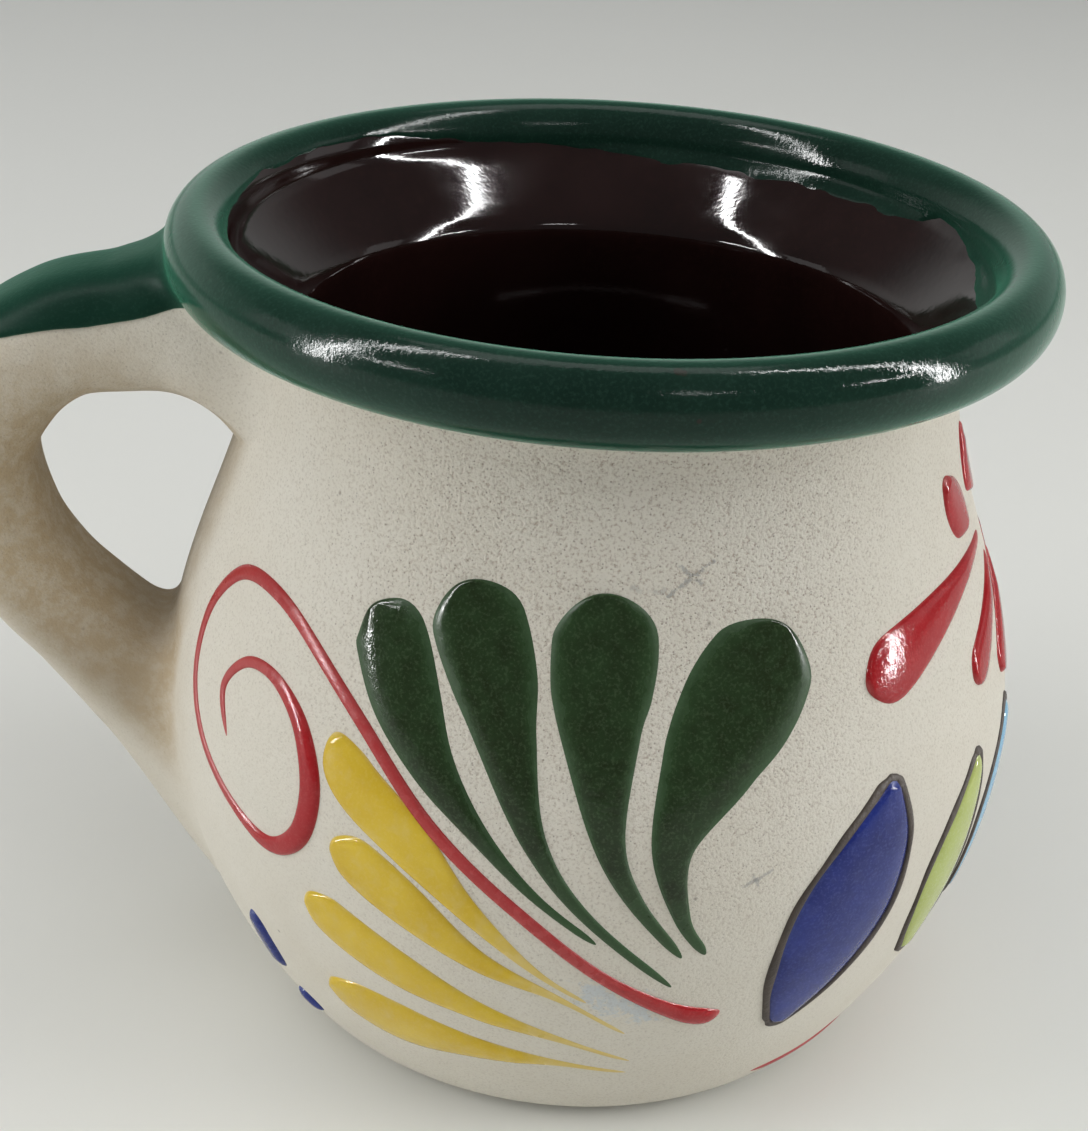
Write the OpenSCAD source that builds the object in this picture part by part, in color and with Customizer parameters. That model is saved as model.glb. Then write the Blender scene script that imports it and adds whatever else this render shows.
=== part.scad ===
// Jarrito: a thrown clay mug with a strap handle, a glazed lip and raised enamel strokes.
// The pot stands on z = 0 with its axis on Z. The handle points to -X and the front is +X.

/* [Pot] */
// Height from the foot to the top of the lip
pot_h = 90; // [87:1:110]
// Outside diameter of the glazed lip
rim_d = 90; // [86:1:110]
// Outside diameter of the belly at its widest
belly_d = 92; // [86:1:120]
// Height of the widest part of the belly, as a share of the pot's height
belly_rise_share = 0.422; // [0.36:0.01:0.5]
// How far the lip stands out from the neck
lip_overhang = 8.7; // [6:0.1:12]
// From the top of the lip down to the narrowest part of the neck
neck_drop = 13; // [11:0.5:18]
// Diameter of the foot before its edge is rounded
foot_d = 65; // [56:1:76]
// Rounding of the foot's edge
foot_round = 4; // [2:0.5:6]
// Thickness of the wall
wall_t = 5; // [3.5:0.5:6.5]
// Thickness of the floor
floor_t = 7; // [5:0.5:10]
// Rounding between the wall and the floor inside
floor_round = 9; // [6:0.5:12]
// Radial width of the glazed lip
lip_w = 6.6; // [5.6:0.2:8]
// Height of the glazed lip
lip_h = 8; // [6:0.2:9]

/* [Handle] */
// Reach of the handle from the pot's axis
handle_reach = 71; // [66:1:84]
// Width of the strap
handle_w = 14; // [11:0.5:18]
// Thickness of the strap
handle_t = 12; // [9:0.5:14]
// From the top of the lip down to the strap's middle where it leaves the neck
handle_top_drop = 11; // [9.5:0.5:16]
// Height of the strap's middle where it comes back to the belly, as a share of the pot's height
handle_foot_share = 0.356; // [0.3:0.01:0.45]

/* [Glaze] */
// Thickness of the glaze coats
glaze_t = 0.5; // [0.3:0.1:0.8]
// How far the rim glaze runs down inside, from the top of the lip
rim_glaze_drop = 5.6; // [5.2:0.2:12]
// From the top of the lip down to the level line where the glaze on the handle ends
thumb_glaze_drop = 11; // [8.5:0.5:13]

/* [Enamel] */
// Height of a stroke's crown over the wall
enamel_t = 0.9; // [0.5:0.1:1.4]
// Stroke width from which the crown is at its full height
enamel_full_w = 2.4; // [1.5:0.1:4]
// Width of the scroll at its thickest
scroll_w = 2.6; // [1.6:0.1:3]
// Width of the widest green leaf
green_w = 12; // [8:0.5:12.5]
// Width of the widest yellow leaf
yellow_w = 8; // [5:0.5:8.5]
// Width of the widest red petal
petal_w = 7; // [4:0.5:7.5]
// Width of the widest red bud under the lip
bud_w = 7.5; // [4:0.5:8]
// Width of the widest garland leaf
garland_w = 13; // [9:0.5:13.5]
// Width of the blue dashes
dash_w = 3; // [2:0.2:3.6]
// Width of the red line round the foot
foot_line_w = 1.4; // [0.8:0.2:2]

/* [Hidden] */
$fn = 96;
// Gap under a stroke, for the flat facets on the round wall
enamel_seat = 0.1;
// Step over which the wall's lean is measured
lean_step = 0.5;
belly_r = belly_d / 2;
belly_z = belly_rise_share * pot_h;
neck_r = rim_d / 2 - lip_overhang;
neck_z = pot_h - neck_drop;
foot_r = foot_d / 2;
lip_r = rim_d / 2 - lip_w / 2;
lip_z = pot_h - lip_h / 2;
rim_glaze_z = pot_h - rim_glaze_drop;
thumb_glaze_z = pot_h - thumb_glaze_drop;
handle_top_z = pot_h - handle_top_drop;
handle_foot_z = handle_foot_share * pot_h;
// Power of the curve from the belly down to the foot
belly_power = 2.1;
// Angles on the lip's oval, from its outermost point, where the neck and the glaze end
neck_join_angle = -130;
glaze_end_angle = -118;
// Squareness of the strap's rounded section
strap_power = 0.8;
// Number of flats round the strap, and steps between two points of a path
strap_side_count = 16;
strap_step_count = 2;
stroke_step_count = 2;
// Points across a narrow stroke, a broad one and a garland leaf
narrow_col_count = 3;
broad_col_count = 4;
leaf_col_count = 5;
// Points of the outlines of the pot
wall_point_count = 14;
bend_point_count = 6;
lip_point_count = 20;

// The strap's middle line: share of the way from the wall to the full reach, share of the height
// between its two ends, share of the strap's thickness, share of the strap's width
strap_shares = [
    [-0.12, 0.91, 1.8, 1.3],
    [0.11, 0.943, 1.45, 1.2],
    [0.27, 0.958, 1.2, 1.1],
    [0.44, 0.944, 1.03, 1.02],
    [0.675, 0.916, 0.97, 1],
    [0.88, 0.845, 1.02, 0.98],
    [1, 0.66, 1, 0.96],
    [0.925, 0.468, 1, 0.96],
    [0.73, 0.336, 1, 0.98],
    [0.49, 0.232, 1.04, 1],
    [0.205, 0.116, 1.21, 1.06],
    [-0.107, -0.01, 1.54, 1.18],
    [-0.3, -0.22, 1.42, 1.26],
    [-0.37, -0.38, 1, 1.2]
];
// Stretch of the strap's middle line on which the thumb rest's glaze is laid
thumb_start_share = 0.04;
thumb_end_share = 0.42;
// Half of the turn round the strap on which it is laid
thumb_turn_angle = 90;

// A side's strokes lie in one sweep, which starts next to the handle and ends towards the front
motif_start_angle = -162;
motif_sweep_angle = 100;

// Share of a stroke's length that its rounded head takes, and its tail
leaf_head_share = 0.16;
petal_head_share = 0.3;
bud_head_share = 0.4;
dash_end_share = 0.3;
scroll_head_share = 0.03;
leaf_tail_share = 0.06;
line_end_share = 0.05;
// Share of a rounded end at which its outline starts
blunt_share = 0.02;
// Fall of a stroke's crown towards its edges
dome_share = 0.8;
dome_power = 4;

// Each stroke: share of the sweep, share of the pot's height, share of the named width
scroll_shares = [
    [0.15, 0.474, 0.3], [0.122, 0.525, 0.4], [0.16, 0.566, 0.45], [0.223, 0.569, 0.55],
    [0.282, 0.537, 0.8], [0.312, 0.478, 1], [0.298, 0.416, 0.95], [0.245, 0.38, 0.75],
    [0.165, 0.4, 0.5], [0.088, 0.446, 0.42], [0.036, 0.511, 0.4], [0.03, 0.583, 0.5],
    [0.08, 0.638, 0.6], [0.157, 0.65, 0.6], [0.25, 0.63, 0.56], [0.37, 0.568, 0.56],
    [0.483, 0.48, 0.56], [0.59, 0.4, 0.56], [0.69, 0.322, 0.56], [0.77, 0.272, 0.75],
    [0.825, 0.248, 1], [0.855, 0.249, 0.8]
];
green_shares = [
    [[0.352, 0.686, 0.5], [0.384, 0.66, 0.66], [0.424, 0.604, 0.62],
     [0.474, 0.545, 0.39], [0.54, 0.484, 0.175], [0.612, 0.42, 0.09], [0.685, 0.366, 0.067]],
    [[0.478, 0.731, 0.62], [0.505, 0.693, 0.77], [0.536, 0.64, 0.7],
     [0.56, 0.585, 0.49], [0.603, 0.488, 0.21], [0.666, 0.406, 0.11], [0.783, 0.3, 0.075]],
    [[0.667, 0.736, 0.66], [0.674, 0.69, 0.82], [0.673, 0.64, 0.79],
     [0.675, 0.594, 0.61], [0.69, 0.494, 0.27], [0.724, 0.425, 0.145], [0.789, 0.344, 0.083]],
    [[0.918, 0.698, 0.64], [0.886, 0.663, 0.94], [0.848, 0.62, 1],
     [0.808, 0.568, 0.8], [0.766, 0.484, 0.35], [0.783, 0.4, 0.14], [0.818, 0.346, 0.083]]
];
yellow_shares = [
    [[0.335, 0.548, 0.48], [0.37, 0.508, 0.72], [0.453, 0.458, 0.67],
     [0.53, 0.392, 0.33], [0.615, 0.32, 0.11], [0.68, 0.277, 0.06]],
    [[0.35, 0.43, 0.5], [0.39, 0.412, 0.74], [0.45, 0.38, 0.7],
     [0.54, 0.326, 0.36], [0.645, 0.281, 0.11], [0.735, 0.222, 0.06]],
    [[0.305, 0.34, 0.53], [0.35, 0.315, 0.75], [0.44, 0.278, 0.7],
     [0.535, 0.245, 0.38], [0.645, 0.21, 0.13], [0.75, 0.165, 0.06]],
    [[0.31, 0.205, 0.56], [0.36, 0.186, 0.95], [0.43, 0.174, 1],
     [0.53, 0.168, 0.55], [0.64, 0.16, 0.16], [0.75, 0.138, 0.06]]
];
// The front's strokes reach past the sweep, which ends short of the front's middle
petal_shares = [
    [[1.04, 0.612, 0.8], [1.09, 0.622, 1], [1.2, 0.646, 0.72], [1.32, 0.664, 0.34],
     [1.44, 0.67, 0.12]],
    [[1.275, 0.55, 0.56], [1.31, 0.565, 0.66], [1.385, 0.6, 0.4], [1.47, 0.636, 0.12]],
    [[1.4, 0.51, 0.52], [1.42, 0.533, 0.62], [1.47, 0.582, 0.38], [1.515, 0.626, 0.12]]
];
bud_shares = [
    [[1.338, 0.7, 0.92], [1.34, 0.724, 1], [1.332, 0.75, 0.62], [1.322, 0.778, 0.17]],
    [[1.46, 0.715, 0.59], [1.455, 0.735, 0.66], [1.445, 0.77, 0.37], [1.44, 0.8, 0.15]]
];
garland_shares = [
    [[0.95, 0.2, 0.12], [0.975, 0.27, 0.7], [1.01, 0.36, 1], [1.045, 0.44, 0.72],
     [1.07, 0.51, 0.1]],
    [[1.19, 0.22, 0.1], [1.2, 0.27, 0.46], [1.22, 0.34, 0.66], [1.245, 0.41, 0.46],
     [1.265, 0.47, 0.08]],
    [[1.36, 0.22, 0.1], [1.37, 0.27, 0.46], [1.385, 0.34, 0.66], [1.405, 0.41, 0.46],
     [1.42, 0.47, 0.08]]
];
dash_shares = [
    [[0.16, 0.235, 0.8], [0.168, 0.195, 1], [0.182, 0.15, 0.8]],
    [[0.178, 0.107, 0.7], [0.196, 0.093, 0.8], [0.216, 0.08, 0.6]]
];
// Strokes on the front's middle line, at their place along the sweep
middle_share = 1.62;
middle_petal_shares = [[middle_share, 0.535, 0.56], [middle_share, 0.56, 0.65],
                       [middle_share, 0.605, 0.4], [middle_share, 0.65, 0.12]];
middle_garland_shares = [[middle_share, 0.2, 0.12], [middle_share, 0.27, 0.7],
                         [middle_share, 0.36, 1], [middle_share, 0.44, 0.72],
                         [middle_share, 0.51, 0.1]];
// The foot line runs from one side of the front to the other
foot_line_height_share = 0.062;
foot_line_start_share = 0.99;
foot_line_point_count = 13;

green_count = len(green_shares);
yellow_count = len(yellow_shares);
petal_count = len(petal_shares);
bud_count = len(bud_shares);
garland_count = len(garland_shares);
garland_colors = ["#2a3a86", "#a9ba55", "#7fb4d8"];
sides = ["near", "far"];

// Curves
function ease(u) = u * u * (3 - 2 * u);
function mix(a, b, u) = a + (b - a) * u;
function bezier(a, b, c, u) = (1 - u) * (1 - u) * a + 2 * u * (1 - u) * b + u * u * c;
function bend(a, b, c, count) = [for (k = [1:count]) bezier(a, b, c, k / count)];
function reversed(list) = [for (i = [len(list) - 1:-1:0]) list[i]];
function spline(a, b, c, d, u) =
    (2 * b + (c - a) * u + (2 * a - 5 * b + 4 * c - d) * u * u
     + (3 * b - a - 3 * c + d) * u * u * u) / 2;
function ahead(list, i) = i < 0 ? 2 * list[0] - list[1]
    : i >= len(list) ? 2 * list[len(list) - 1] - list[len(list) - 2] : list[i];
function smooth(list, steps) = concat(
    [for (i = [0:len(list) - 2]) for (k = [0:steps - 1])
        spline(ahead(list, i - 1), list[i], list[i + 1], ahead(list, i + 2), k / steps)],
    [list[len(list) - 1]]
);

// Outer wall of the pot: its radius at a height, and its lean from the upright
function upper_r(z) = mix(belly_r, neck_r, ease((min(z, neck_z) - belly_z) / (neck_z - belly_z)));
function lower_r(z) = belly_r - (belly_r - foot_r) * pow((belly_z - z) / belly_z, belly_power);
function wall_r(z) = z > belly_z ? upper_r(z) : lower_r(max(z, 0));
function wall_lean(z) = atan2(wall_r(z + lean_step) - wall_r(z - lean_step), 2 * lean_step);

// Inner wall of the pot, with an optional coat on it
function inner_r(z, coat) = wall_r(min(z, neck_z)) - wall_t - coat
    + (z > neck_z ? (lip_inner_r - neck_r + wall_t) * ease((z - neck_z) / (lip_z - neck_z)) : 0);
lip_inner_r = lip_r - lip_w / 2 + glaze_t;

// Oval of the lip, with an optional coat on it
function lip_point(angle, coat) = [
    lip_r + (lip_w / 2 - glaze_t + coat) * cos(angle),
    lip_z + (lip_h / 2 - glaze_t + coat) * sin(angle)
];
function lip_arc(from, to, coat) =
    [for (k = [0:lip_point_count]) lip_point(mix(from, to, k / lip_point_count), coat)];

foot_outline = concat(
    [[0, 0], [foot_r - foot_round, 0]],
    bend([foot_r - foot_round, 0], [foot_r, 0], [wall_r(foot_round), foot_round], bend_point_count)
);
function wall_points(from, to) = [
    for (k = [1:wall_point_count])
    let (z = mix(from, to, k / wall_point_count))
    [wall_r(z), z]
];
wall_outline = concat(wall_points(foot_round, belly_z), wall_points(belly_z, neck_z));
neck_outline = bend([neck_r, neck_z], [neck_r, lip_z - lip_h / 2],
                    lip_point(neck_join_angle, 0), bend_point_count);

// Inside of the pot from a height down to the middle of the floor
inner_low_z = floor_t + floor_round;
function inner_wall(from, coat) = [
    for (k = [0:2 * wall_point_count])
    let (z = mix(from, inner_low_z, k / wall_point_count / 2))
    [inner_r(z, coat), z]
];
function inner_floor(coat) = let (r = inner_r(inner_low_z, coat), z = floor_t + coat) concat(
    bend([r, inner_low_z], [r - floor_round / 2, z], [r - 2 * floor_round, z], bend_point_count),
    [[0, z]]
);
function lip_inside(to, coat) = [
    for (k = [0:bend_point_count])
    let (z = mix(lip_z, to, k / bend_point_count))
    [inner_r(z, coat), z]
];

// Everything inside the outer skin of the glazed pot, with its mouth closed at the top of the lip
module pot_envelope() {
    lip_outside = [for (p = lip_arc(glaze_end_angle, 180, glaze_t))
        if (p[0] > lip_r || p[1] < lip_z) p];
    rotate_extrude()
        polygon(concat(
            foot_outline, wall_outline, neck_outline,
            lip_outside, [[lip_r, pot_h], [0, pot_h]]
        ));
}

module clay_body() {
    color("#d9d3c4")
    rotate_extrude()
        polygon(concat(
            foot_outline, wall_outline, neck_outline, lip_arc(glaze_end_angle, 180, 0),
            lip_inside(rim_glaze_z, 0), inner_wall(rim_glaze_z, 0), inner_floor(0)
        ));
}

module rim_glaze() {
    color("#235a46")
    rotate_extrude()
        polygon(concat(
            lip_arc(glaze_end_angle, 180, glaze_t), lip_inside(rim_glaze_z, glaze_t),
            reversed(lip_inside(rim_glaze_z, 0)), reversed(lip_arc(glaze_end_angle, 180, 0))
        ));
}

module liner_glaze() {
    color("#3a1f1c")
    rotate_extrude()
        polygon(concat(
            inner_wall(rim_glaze_z, 0), inner_floor(0),
            reversed(inner_floor(glaze_t)), reversed(inner_wall(rim_glaze_z, glaze_t))
        ));
}

// The strap's middle line as distance from the axis, height, thickness and width
strap_line = [for (p = smooth(strap_shares, strap_step_count))
    let (z = mix(handle_foot_z, handle_top_z, p[1]), r = wall_r(z))
    [mix(r, handle_reach - handle_t / 2, p[0]), z, p[2] * handle_t, p[3] * handle_w]];
strap_rows = len(strap_line);
function strap_heading(i) = let (
    a = strap_line[max(i - 1, 0)], b = strap_line[min(i + 1, strap_rows - 1)]
) atan2(b[1] - a[1], b[0] - a[0]);
// A unit number raised to the strap's power, with its sign kept
function swell(x) = sign(x) * pow(abs(x), strap_power);
// Point on the strap: angle 0 is its outer side, with an optional coat on it
function strap_point(i, angle, coat) = let (
    p = strap_line[i], turn = strap_heading(i) + 90,
    out = (p[2] / 2 + coat) * swell(cos(angle)), across = (p[3] / 2 + coat) * swell(sin(angle))
) [-p[0] - out * cos(turn), across, p[1] + out * sin(turn)];

module strap() {
    points = [for (i = [0:strap_rows - 1]) for (j = [0:strap_side_count - 1])
        strap_point(i, j * 360 / strap_side_count, 0)];
    last = (strap_rows - 1) * strap_side_count;
    walls = [for (i = [0:strap_rows - 2]) for (j = [0:strap_side_count - 1]) let (
        a = i * strap_side_count + j, b = i * strap_side_count + (j + 1) % strap_side_count
    ) each [[a, b, a + strap_side_count], [b, b + strap_side_count, a + strap_side_count]]];
    ends = [for (j = [1:strap_side_count - 2]) each [[0, j + 1, j], [last, last + j, last + j + 1]]];
    polyhedron(points, concat(walls, ends));
}

module handle() {
    color("#d6cfbf")
    difference() {
        strap();
        pot_envelope();
    }
}

// Closed shell between an upper and a lower grid of points
module shell(upper, lower) {
    rows = len(upper);
    cols = len(upper[0]);
    under = rows * cols;
    points = concat([for (row = upper) each row], [for (row = lower) each row]);
    sheet = [for (i = [0:rows - 2]) for (j = [0:cols - 2]) let (a = i * cols + j)
        each [[a, a + 1, a + cols], [a + 1, a + cols + 1, a + cols]]];
    edge = concat(
        [for (j = [0:cols - 1]) j],
        [for (i = [1:rows - 1]) i * cols + cols - 1],
        [for (j = [cols - 2:-1:0]) (rows - 1) * cols + j],
        [for (i = [rows - 2:-1:1]) i * cols]
    );
    count = len(edge);
    skirt = [for (k = [0:count - 1]) let (a = edge[k], b = edge[(k + 1) % count])
        each [[b, a, a + under], [b, a + under, b + under]]];
    bottom = [for (f = sheet) [f[2] + under, f[1] + under, f[0] + under]];
    polyhedron(points, concat(sheet, skirt, bottom));
}

module thumb_rest_glaze() {
    first = floor(thumb_start_share * strap_rows);
    last = floor(thumb_end_share * strap_rows);
    step = 360 / strap_side_count;
    turns = [thumb_turn_angle:-step:-thumb_turn_angle];
    color("#235a46")
    intersection() {
        shell(
            [for (i = [first:last]) [for (angle = turns) strap_point(i, angle, glaze_t)]],
            [for (i = [first:last]) [for (angle = turns) strap_point(i, angle, 0)]]
        );
        translate([-2 * handle_reach, -2 * handle_w, thumb_glaze_z])
            cube([2 * handle_reach - rim_d / 2, 4 * handle_w, pot_h]);
    }
}

// Point over the wall at a turn and a height
function on_wall(turn, z, over) = let (lean = wall_lean(z), r = wall_r(z) + over * cos(lean))
    [r * cos(turn), r * sin(turn), z - over * sin(lean)];
// Rounding of a stroke's end, from nothing at the end to its full width
function round_end(u, share) = u >= share ? 1 : sqrt(1 - pow(1 - max(u / share, blunt_share), 2));

// One laid stroke: a domed ribbon on the wall, with rounded ends
module stroke(shares, width, cols, head_share, tail_share) {
    line = smooth(shares, stroke_step_count);
    rows = len(line);
    function turn(i) = motif_start_angle + line[i][0] * motif_sweep_angle;
    function height(i) = line[i][1] * pot_h;
    function along(i) = let (
        a = max(i - 1, 0), b = min(i + 1, rows - 1), z = height(i),
        side = wall_r(z) * (turn(b) - turn(a)) * PI / 180,
        rise = (height(b) - height(a)) / cos(wall_lean(z))
    ) [side, rise] / norm([side, rise]);
    function reach(i) = let (
        u = i / (rows - 1), full = line[i][2] * width / 2,
        ends = round_end(u, head_share) * round_end(1 - u, tail_share)
    ) max(full * ends, enamel_seat);
    function crown(i) = enamel_t * min(1, 2 * reach(i) / enamel_full_w);
    function place(i, x, over) = let (
        z = height(i), d = along(i), lean = wall_lean(z), w = x * reach(i)
    ) on_wall(turn(i) - w * d[1] / wall_r(z) * 180 / PI, z + w * d[0] * cos(lean), over);
    function dome(x) = 1 - dome_share * pow(x, dome_power);
    across = [for (j = [0:cols - 1]) 2 * j / (cols - 1) - 1];
    shell(
        [for (i = [0:rows - 1]) [for (x = across) place(i, x, enamel_seat + crown(i) * dome(x))]],
        [for (i = [0:rows - 1]) [for (x = across) place(i, x, enamel_seat)]]
    );
}

// The far side is the near side's mirror image
module on_side(side) {
    if (side == "near") children();
    else mirror([0, 1, 0]) children();
}

module scroll() {
    color("#b8434a")
    stroke(scroll_shares, scroll_w, narrow_col_count, scroll_head_share, line_end_share);
}

module green_leaf(i) {
    color("#2c4a2c")
    stroke(green_shares[i - 1], green_w, broad_col_count, leaf_head_share, leaf_tail_share);
}

module yellow_leaf(i) {
    color("#d2b23a")
    stroke(yellow_shares[i - 1], yellow_w, broad_col_count, leaf_head_share, leaf_tail_share);
}

module petal(shares) {
    color("#b8434a")
    stroke(shares, petal_w, broad_col_count, petal_head_share, leaf_tail_share);
}

module bud(i) {
    color("#b8434a")
    stroke(bud_shares[i - 1], bud_w, narrow_col_count, bud_head_share, leaf_tail_share);
}

module garland_leaf(shares, tint) {
    color(tint)
    stroke(shares, garland_w, leaf_col_count, line_end_share, line_end_share);
}

module blue_dashes() {
    color("#2a3a86")
    for (shares = dash_shares)
        stroke(shares, dash_w, narrow_col_count, dash_end_share, dash_end_share);
}

module foot_line() {
    end = 2 * middle_share - foot_line_start_share;
    shares = [for (k = [0:foot_line_point_count - 1])
        [mix(foot_line_start_share, end, k / (foot_line_point_count - 1)), foot_line_height_share, 1]];
    color("#b8434a")
    stroke(shares, foot_line_w, narrow_col_count, line_end_share, line_end_share);
}

clay_body();
handle();
rim_glaze();
liner_glaze();
thumb_rest_glaze();
for (side = sides) {
    on_side(side) scroll();
    for (i = [1:green_count])
        on_side(side) green_leaf(i);
    for (i = [1:yellow_count])
        on_side(side) yellow_leaf(i);
    for (i = [1:petal_count])
        on_side(side) petal(petal_shares[i - 1]);
    for (i = [1:bud_count])
        on_side(side) bud(i);
    for (i = [1:garland_count])
        on_side(side) garland_leaf(garland_shares[i - 1], garland_colors[i - 1]);
    on_side(side) blue_dashes();
}
petal(middle_petal_shares);  // middle_petal
garland_leaf(middle_garland_shares, garland_colors[0]);  // middle_garland_leaf
foot_line();
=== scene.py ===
import math
import bpy
import numpy as np
from mathutils import Matrix, Vector


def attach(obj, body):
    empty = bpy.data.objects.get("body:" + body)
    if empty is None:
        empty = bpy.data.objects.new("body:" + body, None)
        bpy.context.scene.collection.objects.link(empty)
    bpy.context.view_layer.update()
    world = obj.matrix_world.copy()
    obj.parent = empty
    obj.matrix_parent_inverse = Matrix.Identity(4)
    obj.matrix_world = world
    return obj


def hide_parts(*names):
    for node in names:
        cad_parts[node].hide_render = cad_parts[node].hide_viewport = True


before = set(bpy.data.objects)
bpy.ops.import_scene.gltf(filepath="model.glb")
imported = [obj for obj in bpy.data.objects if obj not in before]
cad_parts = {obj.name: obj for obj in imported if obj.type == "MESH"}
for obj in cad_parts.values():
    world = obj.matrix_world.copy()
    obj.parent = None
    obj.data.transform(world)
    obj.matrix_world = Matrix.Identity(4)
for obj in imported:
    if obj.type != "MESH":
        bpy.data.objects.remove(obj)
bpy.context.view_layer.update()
scene = bpy.context.scene
print("frame loaded:", len(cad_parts), "nodes")


# Small helpers for meshes

def addPiece(name, points, faces, material, slot, nodes=(), attributes=None):
    # points and faces become a smooth piece that rides on the mug and stands for its nodes
    mesh = bpy.data.meshes.new(name)
    mesh.from_pydata([tuple(p) for p in points], [], faces)
    mesh.shade_smooth()
    for key, values in (attributes or {}).items():
        layer = mesh.attributes.new(key, "FLOAT", "POINT")
        layer.data.foreach_set("value", np.asarray(values, np.float32))
    mesh.materials.append(material)
    piece = bpy.data.objects.new(name, mesh)
    scene.collection.objects.link(piece)
    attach(piece, "root")
    if nodes:
        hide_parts(*nodes)


def gridFaces(rows, cols, flip=False, loop=False):
    # quads of rows of rings, numbered row by row, with loop from the last row on to the first
    faces = []
    for i in range(rows if loop else rows - 1):
        low, high = i * cols, (i + 1) % rows * cols
        for j in range(cols):
            k = (j + 1) % cols
            quad = (low + j, low + k, high + k, high + j)
            faces.append(quad[::-1] if flip else quad)
    return faces


def smoothLine(points, at):
    # smooth line through points, read at places counted in points
    pts = np.asarray(points, float)
    ends = np.vstack([2 * pts[0] - pts[1], pts, 2 * pts[-1] - pts[-2]])
    at = np.clip(np.asarray(at, float), 0, len(pts) - 1 - 1e-9)
    i = at.astype(int)
    u = (at - i)[:, None]
    a, b, c, d = ends[i], ends[i + 1], ends[i + 2], ends[i + 3]
    return (2 * b + (c - a) * u + (2 * a - 5 * b + 4 * c - d) * u ** 2
            + (3 * b - a - 3 * c + d) * u ** 3) / 2


def ease(u):
    u = np.clip(u, 0, 1)
    return u * u * (3 - 2 * u)


def steady(u, ends):
    # even rise from 0 to 1 with soft ends
    u = np.clip(u, 0, 1)
    v = np.minimum(u, 1 - u)
    low = np.where(v < ends, v * v / (2 * ends), v - ends / 2) / (1 - ends)
    return np.where(u < 0.5, low, 1 - low)


def mix(a, b, u):
    return a + (b - a) * u


def waveSum(waves, along):
    # waves given by their count round a ring, start and share
    return sum(share * np.sin(count * along + start) for count, start, share in waves)


def reading(knots, at, k=1):
    # value number k of a list of knots, read at a place of their first value
    return np.interp(at, *np.array(knots).T[[0, k]])


def unit(ways):
    return ways / np.maximum(np.linalg.norm(ways, axis=-1, keepdims=True), 1e-9)


def runAlong(points):
    # length of a line up to each of its points
    return np.concatenate([[0], np.cumsum(np.linalg.norm(np.diff(points, axis=0), axis=1))])


def tubeFaces(rows, ring, flip=False):
    # rows of rings as a closed tube with flat ends
    caps = tuple(range(ring))[::-1], tuple((rows - 1) * ring + j for j in range(ring))
    return gridFaces(rows, ring, flip) + [cap[::-1] if flip else cap for cap in caps]


def joinMeshes(meshes):
    # points and faces of several meshes as those of one
    points, faces, start = [], [], 0
    for p, f in meshes:
        points.append(p)
        faces += [tuple(k + start for k in face) for face in f]
        start += len(p)
    return np.vstack(points), faces


# Form of the pot, in metres

pot = {
    "height": 0.09, "rimDia": 0.09, "bellyDia": 0.092, "bellyRise": 0.422,
    "lipOverhang": 0.0087, "neckDrop": 0.013, "footDia": 0.065, "footRound": 0.004,
    "wall": 0.005, "floor": 0.007, "floorRound": 0.009, "lipWidth": 0.0066, "lipHeight": 0.008,
    "bellyPower": 2.1, "neckJoin": -130, "flareEnds": 0.2, "turns": 288,
    "axisGap": 0.0003, "footAxisGap": 0.0008,  # the turned line's ends stop short of the axis
    # rows of the turned line, stretch by stretch
    "rows": {"foot": 8, "footRound": 12, "wall": 96, "neckBend": 14, "lip": 40, "inside": 70,
             "floorBend": 16, "floor": 6},
    # slow unevenness: its height, its fades at the foot and below the lip, and the waves that make
    # it up, each with its count round the pot, start, twist with height, and share
    "wobble": 0.00009, "wobbleFoot": 0.006, "wobbleNeck": (0.003, 0.008),
    "waves": [(2, 0.8, 40, 1), (3, -1.3, -60, 0.6)],
}
bellyR, footR = pot["bellyDia"] / 2, pot["footDia"] / 2
bellyZ = pot["bellyRise"] * pot["height"]
neckR = pot["rimDia"] / 2 - pot["lipOverhang"]
neckZ = pot["height"] - pot["neckDrop"]
lipR = pot["rimDia"] / 2 - pot["lipWidth"] / 2
lipZ = pot["height"] - pot["lipHeight"] / 2
glazeT = 0.0005  # full thickness of the glaze coats


def wallRadius(z):
    z = np.asarray(z, float)
    upper = mix(bellyR, neckR, ease((z - bellyZ) / (neckZ - bellyZ)))
    drop = np.clip((bellyZ - z) / bellyZ, 0, 1)
    return np.where(z > bellyZ, upper, bellyR - (bellyR - footR) * drop ** pot["bellyPower"])


def wallLean(z):
    step = 0.0004
    return np.arctan2(wallRadius(z + step) - wallRadius(z - step), 2 * step)


def wobble(turn, z):
    # slow unevenness of a hand-thrown wall, gone at the foot and the lip
    wave = sum(share * np.sin(count * turn + start + twist * z)
               for count, start, twist, share in pot["waves"])
    past, fade = pot["wobbleNeck"]
    return pot["wobble"] * wave * ease(z / pot["wobbleFoot"]) * ease((neckZ + past - z) / fade)


def wallAt(turn, z):
    return wallRadius(z) + wobble(turn, z)


def innerRadius(z, coat):
    z = np.asarray(z, float)
    neck = wallRadius(np.minimum(z, neckZ)) - pot["wall"] - coat
    lipInner = lipR - pot["lipWidth"] / 2 + glazeT
    flare = (lipInner - neckR + pot["wall"]) * steady((z - neckZ) / (lipZ - neckZ), pot["flareEnds"])
    return neck + np.where(z > neckZ, flare, 0)


def lipPoint(angle, coat):
    # point on the lip's oval at an angle in degrees from its outermost point
    a = np.radians(angle)
    half = pot["lipWidth"] / 2 - glazeT + coat, pot["lipHeight"] / 2 - glazeT + coat
    return np.stack([lipR + half[0] * np.cos(a), lipZ + half[1] * np.sin(a)], -1)


def bezier(a, b, c, count):
    u = np.linspace(0, 1, count)[:, None]
    return (1 - u) ** 2 * np.array(a) + 2 * u * (1 - u) * np.array(b) + u ** 2 * np.array(c)


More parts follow.
